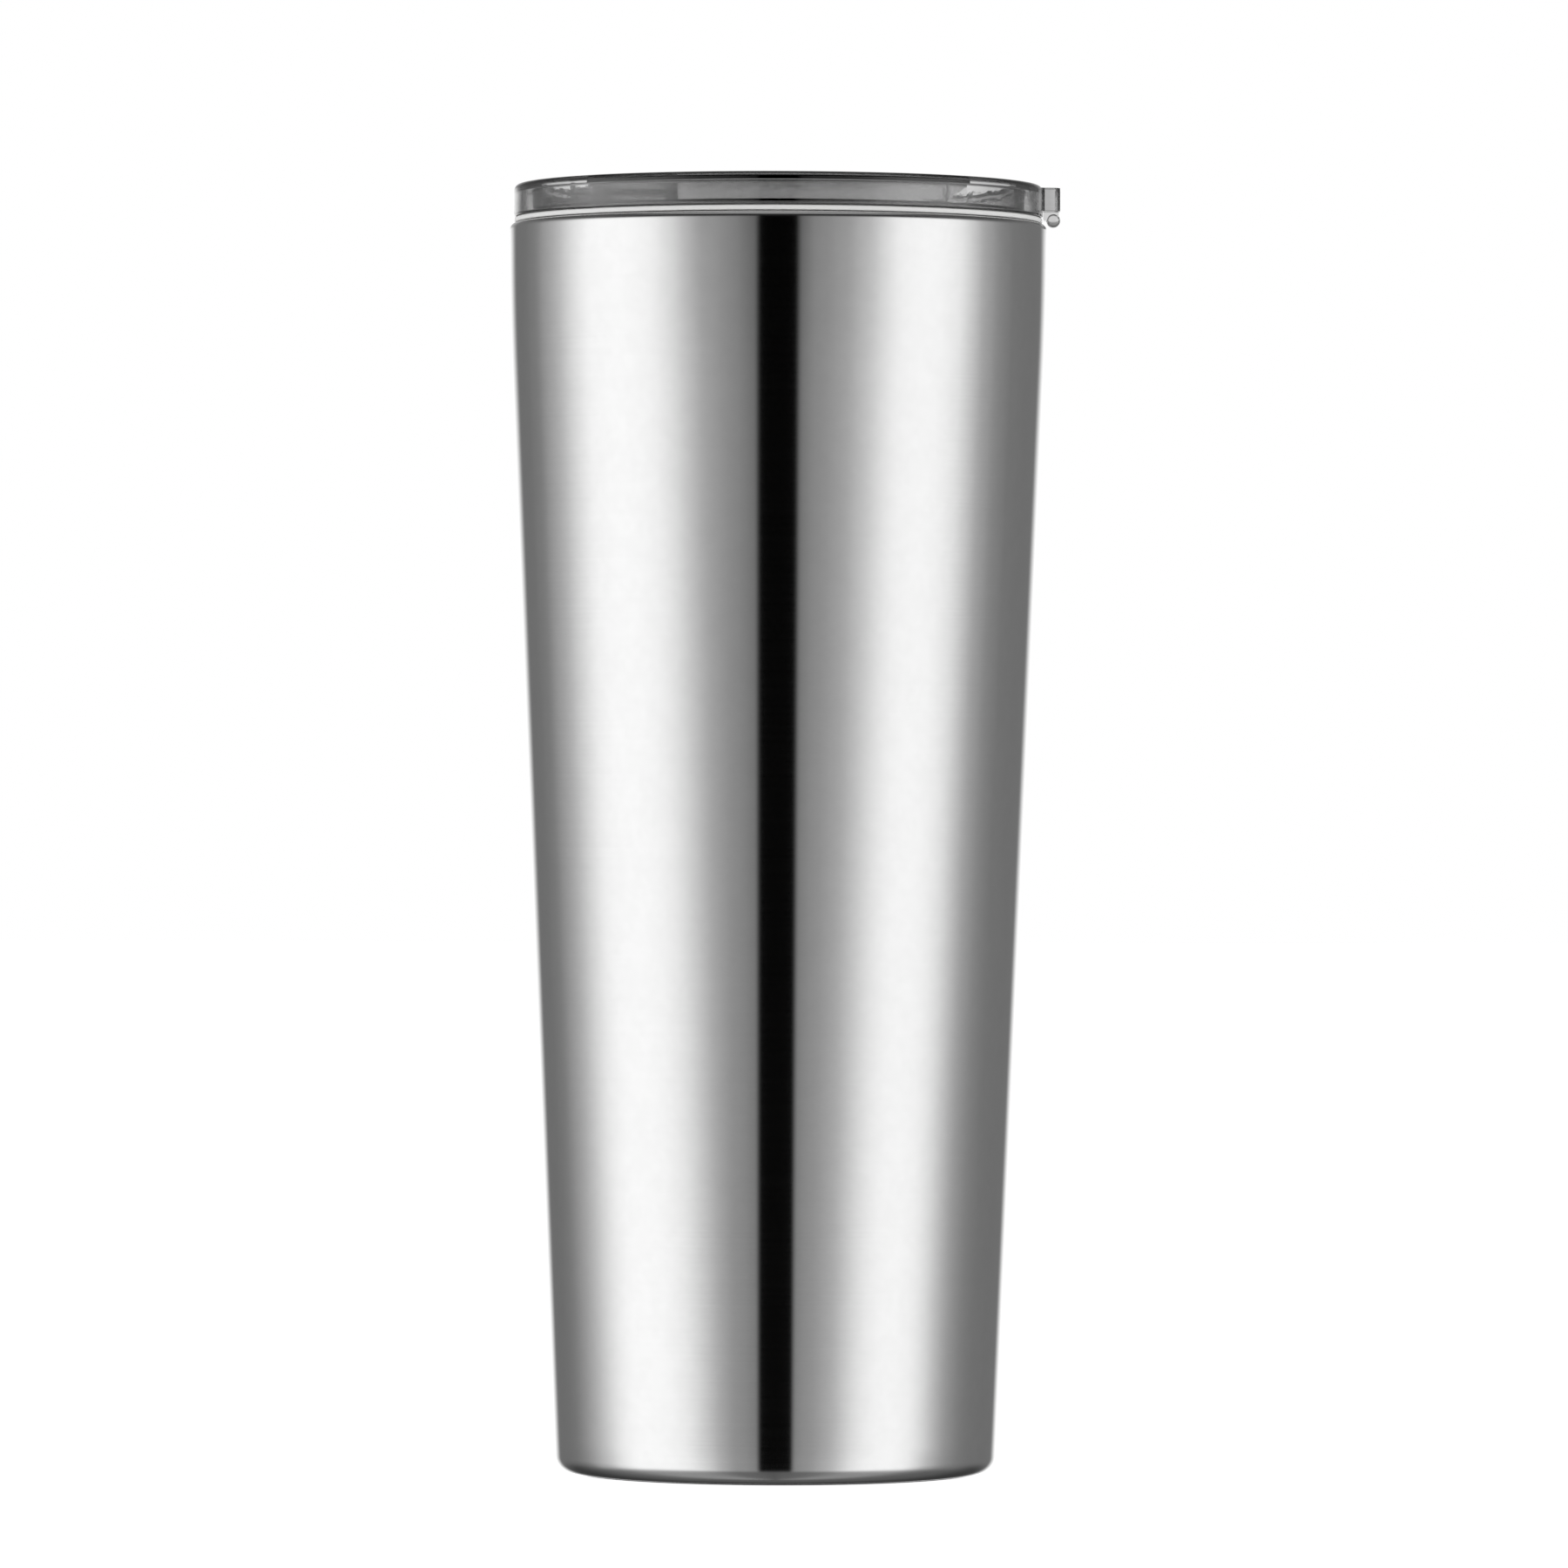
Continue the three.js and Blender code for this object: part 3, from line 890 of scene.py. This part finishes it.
        soften(lid, 0.22)
        even_out(lid)
        return lid

    def gasket(self) -> bpy.types.Object:
        """The seal: a sleeve on the plug with two fins, and a flange that shows under the lid."""
        inside = self.skirt_outside + self.gap
        sleeve = inside + 0.6
        fin = self.neck_radius - 0.2
        low, high = self.rim_top + self.seal_gap, self.seat - self.seal_gap
        corners = [
            (inside, self.bead_top + self.gap, 0.1),
            (sleeve, self.bead_top + self.gap, 0.1),
        ]
        for height in (203.0, 206.3):
            corners += [
                (sleeve, height - 0.4, 0.1),
                (fin, height, 0.12),
                (fin, height + 0.4, 0.12),
                (sleeve, height + 0.5, 0.1),
            ]
        corners += [
            (sleeve, low, 0.2),
            (self.radius - 0.1, low, 0.25),
            (self.radius - 0.1, high, 0.25),
            (inside, high, 0.1),
        ]
        return revolve("Lid_gasket_white", rounded(corners, steps=4), 288)

    def build(self) -> None:
        """Builds and dresses the lid's pieces."""
        made = self.body()
        dress(made, ClearPlastic().make())
        place_piece(made, Body.LID, ["lid_body"])
        made = self.gasket()
        dress(made, Silicone("White silicone", (0.97, 0.97, 0.96), 0.45).make())
        place_piece(made, Body.LID, ["lid_gasket"])


# ---------------------------------------------------------------- the slider


@dataclass
class Slider:
    """The sliding cover over the drinking opening."""

    bottom: float = 211.45
    top: float = 212.95
    half: float = 7.9
    back: float = -27.4
    front_radius: float = 39.4
    grip_front: float = -34.5
    grip_back: float = -28.3
    grip_half: float = 6.4
    grip_top: float = 215.4
    grip_round: float = 1.0
    rib: float = 0.9
    ribs: int = 3
    seal_front: float = -37.8
    seal_back: float = -31.3
    seal_half: float = 7.1
    seal_round: float = 1.0
    pocket: float = 0.65
    pocket_edge: float = 0.3
    pocket_round: float = 1.2
    well_floor: float = 211.2
    gap: float = 0.15

    def body(self) -> bpy.types.Object:
        """The plate with its rounded front edge and ribbed thumb grip."""
        lean = math.degrees(math.asin(self.half / self.front_radius))
        front = arc((0, 0), self.front_radius, 180 - lean, 180 + lean, 24)
        tail = np.array([(self.back, -self.half), (self.back, self.half)])
        plate = prism("Slider_clear", np.vstack((tail, front)), self.bottom, self.top)
        grip_outline = rounded_box(self.grip_front, self.grip_back, self.grip_half, self.grip_round)
        grip = prism("grip", grip_outline, self.top - 0.2, self.grip_top - 0.7)
        pitch = (self.grip_back - self.grip_front - self.rib) / (self.ribs - 1)
        low, high = self.grip_top - 1.2, self.grip_top
        ribs = []
        for i in range(self.ribs):
            start = self.grip_front + i * pitch
            end = start + self.rib
            outline = rounded([(start, low, 0), (end, low, 0), (end, high, 0.45), (start, high, 0.45)], steps=5)
            ribs.append(rod(f"rib{i}", outline, -self.grip_half + 0.5, self.grip_half - 0.5))
        carve(plate, [grip, *ribs], Cut.JOIN)
        edge = self.pocket_edge
        start, end = self.seal_front - edge, self.seal_back + edge
        pocket_outline = rounded_box(start, end, self.seal_half + edge, self.pocket_round, steps=5)
        carve(plate, [prism("pocket", pocket_outline, self.bottom - 1, self.bottom + self.pocket)], Cut.REMOVE)
        soften(plate, 0.15)
        even_out(plate)
        return plate

    def seal(self) -> bpy.types.Object:
        """The pad that presses on the drinking opening."""
        outline = rounded_box(self.seal_front, self.seal_back, self.seal_half, self.seal_round, steps=5)
        low, high = self.well_floor + self.gap / 2, self.bottom + self.pocket - self.gap
        made = prism("Slider_seal_white", outline, low, high)
        soften(made, 0.15)
        even_out(made)
        return made

    def build(self) -> None:
        """Builds and dresses the slider's pieces."""
        made = self.body()
        dress(made, ClearPlastic("Slider plastic", roughness=0.06).make())
        place_piece(made, Body.SLIDER, ["slider"])
        made = self.seal()
        dress(made, Silicone("Slider silicone", (0.9, 0.9, 0.89), 0.45).make())
        place_piece(made, Body.SLIDER, ["slider_seal"])


# ---------------------------------------------------------------- the studio


@dataclass(frozen=True)
class SoftLight:
    """Soft light on one side, seen from the tumbler: how it changes with the bearing.

    The bearings and levels are the stops of a smooth curve, from straight ahead to straight behind.
    """

    bearings: tuple[float, ...]
    levels: tuple[float, ...]


LEFT = SoftLight(
    (0.0, 10.0, 17.0, 26.0, 35.0, 44.0, 54.0, 70.0, 82.0, 93.0, 107.0, 124.0, 138.0, 180.0),
    (0.2, 0.2, 0.32, 0.44, 0.56, 0.95, 1.38, 1.6, 1.6, 1.46, 0.88, 0.42, 0.25, 0.2),
)
RIGHT = SoftLight(
    (0.0, 10.0, 15.0, 24.0, 33.0, 43.0, 52.0, 65.0, 79.0, 87.0, 97.0, 107.0, 121.0, 180.0),
    (0.2, 0.2, 0.34, 0.44, 0.58, 0.9, 1.36, 1.55, 1.49, 1.28, 0.76, 0.46, 0.28, 0.2),
)


@dataclass
class Studio:
    """White surroundings, soft light from both sides with a dark gap between them, floor and camera.

    Directions are unit vectors seen from the tumbler. The "edge", "behind", "below", "fade" and "end" pairs are
    the values of one of their coordinates between which a level changes.

    Attributes:
        left, right: The soft light on each side.
        lean, lean_from, lean_to: How far the side lights move round, degrees, as a direction dips.
        gap_edge, gap_level: Bearings that bound the dark gap in front, degrees, and its level.
        sheet_edge, sheet_level, sheet_fade, sheet_high: The white sheet straight behind, dimmer high up.
        shade_behind, shade_below, shade_level: The shade behind and below.
        table, table_edge: Slope and offset of the level below, from the side lights' level.
        overhead, overhead_edge, sides_end: Levels overhead, front to back, above the side lights.
        canopy_edge, canopy_level: The soft light straight above.
        dome_radius: Radius of the floor and the dome, metres.
        camera_x, camera_distance, camera_height: Where the camera stands, metres.
        lens, roll: Its focal length, mm, and its roll, degrees.
        floor_glow: How brightly the floor glows.
    """

    left: SoftLight = LEFT
    right: SoftLight = RIGHT
    lean: float = 105.0
    lean_from: float = 0.035
    lean_to: float = 0.15
    gap_edge: tuple[float, float] = (7.4, 10.4)
    gap_level: float = 0.001
    sheet_edge: tuple[float, float] = (0.885, 0.985)
    sheet_level: float = 0.95
    sheet_fade: tuple[float, float] = (0.04, 0.12)
    sheet_high: float = 0.3
    shade_behind: tuple[float, float] = (0.3, 0.8)
    shade_below: tuple[float, float] = (0.16, 0.42)
    shade_level: float = 0.35
    table: tuple[float, float] = (0.2, 0.1)
    table_edge: tuple[float, float] = (-0.6, -0.32)
    overhead: tuple[float, float] = (0.02, 0.12)
    overhead_edge: tuple[float, float] = (-0.5, 0.3)
    sides_end: tuple[float, float] = (0.25, 0.6)
    canopy_edge: tuple[float, float] = (0.8, 0.98)
    canopy_level: float = 0.45
    dome_radius: float = 6.0
    camera_x: float = 0.00117
    camera_distance: float = 1.79
    camera_height: float = 0.1153
    lens: float = 245.4
    roll: float = 0.144
    floor_glow: float = 0.92

    def world(self) -> None:
        """Soft light that changes with the bearing round the tumbler and with height.

        The bearing is atan2(x, -y), so it is 0 towards the camera and grows towards +X.
        """
        world = bpy.data.worlds.new("Studio")
        bpy.context.scene.world = world
        world.use_nodes = True
        sheet = Sheet(world.node_tree)
        way = sheet.add("SeparateXYZ", {0: sheet.add("TexCoord").outputs["Generated"]}).outputs
        ahead = sheet.math("MULTIPLY", way["Y"], -1.0)
        bearing = sheet.math("DEGREES", sheet.math("ARCTAN2", way["X"], ahead))
        aside = sheet.math("ABSOLUTE", bearing)
        down = sheet.math("MULTIPLY", way["Z"], -1.0)
        held = sheet.math("MINIMUM", sheet.math("MAXIMUM", down, self.lean_from), self.lean_to)
        leant = sheet.math("MULTIPLY_ADD", sheet.math("SUBTRACT", held, self.lean_from), self.lean, aside)
        share = sheet.math("GREATER_THAN", way["X"], 0.0)
        left, right = self.curve(sheet, leant, self.left), self.curve(sheet, leant, self.right)
        sides = self.between(sheet, share, left, right)
        total = sheet.math("MULTIPLY", sides, sheet.ramp(aside, *self.gap_edge, self.gap_level, 1.0))
        table = sheet.math("MULTIPLY_ADD", sides, *self.table)
        total = self.between(sheet, sheet.ramp(way["Z"], *self.table_edge), table, total)
        overhead = sheet.ramp(way["Y"], *self.overhead_edge, *self.overhead)
        total = self.between(sheet, sheet.ramp(way["Z"], *self.sides_end), total, overhead)
        total = sheet.math("ADD", total, sheet.ramp(way["Z"], *self.canopy_edge, 0.0, self.canopy_level))
        paper = sheet.ramp(way["Y"], *self.sheet_edge, 0.0, self.sheet_level)
        paper = sheet.math("MULTIPLY", paper, sheet.ramp(way["Z"], *self.sheet_fade, 1.0, self.sheet_high))
        total = sheet.math("ADD", total, paper)
        behind, below = sheet.ramp(way["Y"], *self.shade_behind), sheet.ramp(down, *self.shade_below)
        shade = sheet.math("MULTIPLY", behind, below)
        total = self.between(sheet, shade, total, sheet.math("MULTIPLY", total, self.shade_level))
        colour = sheet.add("CombineColor", {0: total, 1: total, 2: total}).outputs[0]
        sheet.add("OutputWorld", {"Surface": sheet.add("Background", {"Color": colour}).outputs[0]})

    @staticmethod
    def curve(sheet: Sheet, bearing: object, light: SoftLight) -> bpy.types.NodeSocket:
        """The level of one side's light at a bearing.

        Args:
            sheet: The world's node tree.
            bearing: Bearing away from the camera's side, degrees.
            light: The side's stops.

        Returns:
            The level.
        """
        strongest = max(light.levels)
        ramp = sheet.add("ValToRGB", {"Fac": sheet.math("DIVIDE", bearing, 180.0)})
        ramp.color_ramp.interpolation = "CARDINAL"
        stops = ramp.color_ramp.elements
        for stop, (angle, level) in enumerate(zip(light.bearings, light.levels)):
            element = stops[stop] if stop < 2 else stops.new(angle / 180.0)
            element.position = angle / 180.0
            element.color = grey(level / strongest)
        return sheet.math("MULTIPLY", ramp.outputs["Color"], strongest)

    @staticmethod
    def between(sheet: Sheet, share: object, low: object, high: object) -> bpy.types.NodeSocket:
        """Mixes two levels: low where the share is 0 and high where it is 1."""
        kept = sheet.math("MULTIPLY", low, sheet.math("SUBTRACT", 1.0, share))
        return sheet.math("MULTIPLY_ADD", high, share, kept)

    def floor(self) -> None:
        """A wide pale floor with a faint grain, which the steel doesn't mirror."""
        outline = arc((0, 0), self.dome_radius / MM, 0, 360, 96)[:-1]
        points = np.column_stack((outline, np.zeros(len(outline))))
        made = new_object("Floor", points, [list(range(len(points)))])
        finish, sheet = material("Pale floor")
        grain = sheet.noise(sheet.place(), 400.0, 2.0)
        shade = sheet.ramp(grain, 0.3, 0.7, 0.88, 0.92)
        colour = sheet.add("CombineColor", {0: shade, 1: shade, 2: shade}).outputs[0]
        soft = sheet.add("BsdfDiffuse", {"Color": colour}).outputs[0]
        glow = sheet.add("Emission", {"Color": grey(1.0), "Strength": self.floor_glow}).outputs[0]
        sheet.add("OutputMaterial", {"Surface": sheet.add("AddShader", {0: soft, 1: glow}).outputs[0]})
        dress(made, finish)
        made.visible_glossy = False
        made.visible_transmission = False

    def backdrop(self) -> None:
        """A white dome that only the camera sees."""
        profile = arc((0, 0), self.dome_radius / MM, -90, 90, 48)
        profile[[0, -1], 0] = 0
        made = revolve("Backdrop", profile, 96)
        finish, sheet = material("White backdrop")
        glow = sheet.add("Emission", {"Color": grey(1.0), "Strength": 1.0}).outputs[0]
        sheet.add("OutputMaterial", {"Surface": glow})
        dress(made, finish)
        made.visible_glossy = False
        made.visible_transmission = False
        made.visible_diffuse = False
        made.visible_shadow = False

    def camera(self) -> None:
        """A long lens, level, a little above half the tumbler's height."""
        data = bpy.data.cameras.new("Camera")
        data.lens = self.lens
        data.sensor_width = 36.0
        data.clip_end = 50.0
        made = bpy.data.objects.new("Camera", data)
        made.location = (self.camera_x, -self.camera_distance, self.camera_height)
        made.rotation_euler = (math.radians(90), math.radians(-self.roll), 0)
        bpy.context.scene.collection.objects.link(made)
        bpy.context.scene.camera = made

    def build(self) -> None:
        """Builds the studio."""
        self.world()
        self.floor()
        self.backdrop()
        self.camera()
        bpy.context.scene.view_settings.view_transform = "Standard"


def main() -> None:
    """Builds the object and its studio, in order."""
    logging.basicConfig(level=logging.INFO, format="%(name)s: %(message)s")
    Vessel().build()
    Lid().build()
    Slider().build()
    Studio().build()


if __name__ == "__main__":
    main()
